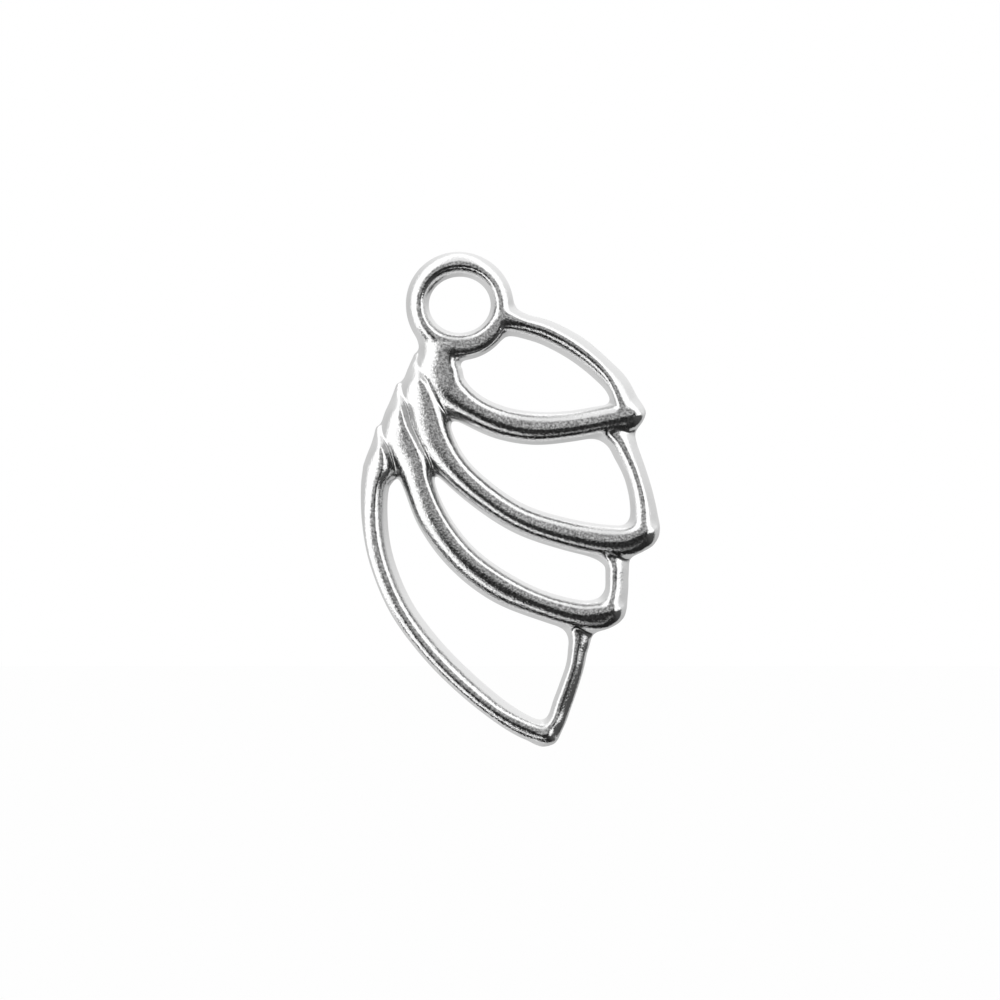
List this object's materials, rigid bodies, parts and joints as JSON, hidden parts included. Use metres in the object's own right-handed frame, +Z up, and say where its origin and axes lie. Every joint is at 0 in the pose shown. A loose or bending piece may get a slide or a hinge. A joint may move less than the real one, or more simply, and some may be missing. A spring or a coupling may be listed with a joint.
{
  "type": "angel wing charm",
  "caption": "Small cast silver charm: a round hanging eye over one pierced wing of layered, pointed feathers.",
  "frame": {"origin": "centre of the hanging eye's hole, halfway through the eye", "axes": "+Z up the charm as it hangs, -Y out of the domed front, +Y out of the flat back, +X towards the feathers' tips"},
  "size_m": [0.0096, 0.0011, 0.016],
  "materials": {
    "polished_silver": "cast sterling silver, tumbled and polished, with a fine grain left on the crowns"
  },
  "bodies": {
    "root": {"hanging_eye": "polished_silver", "feather_1_top_edge": "polished_silver", "feather_1_rib": "polished_silver", "feather_2_tip_edge": "polished_silver", "feather_2_rib": "polished_silver", "feather_3_tip_edge": "polished_silver", "feather_3_rib": "polished_silver", "feather_4_tip_edge": "polished_silver", "feather_4_spine": "polished_silver"}
  },
  "joints": []
}
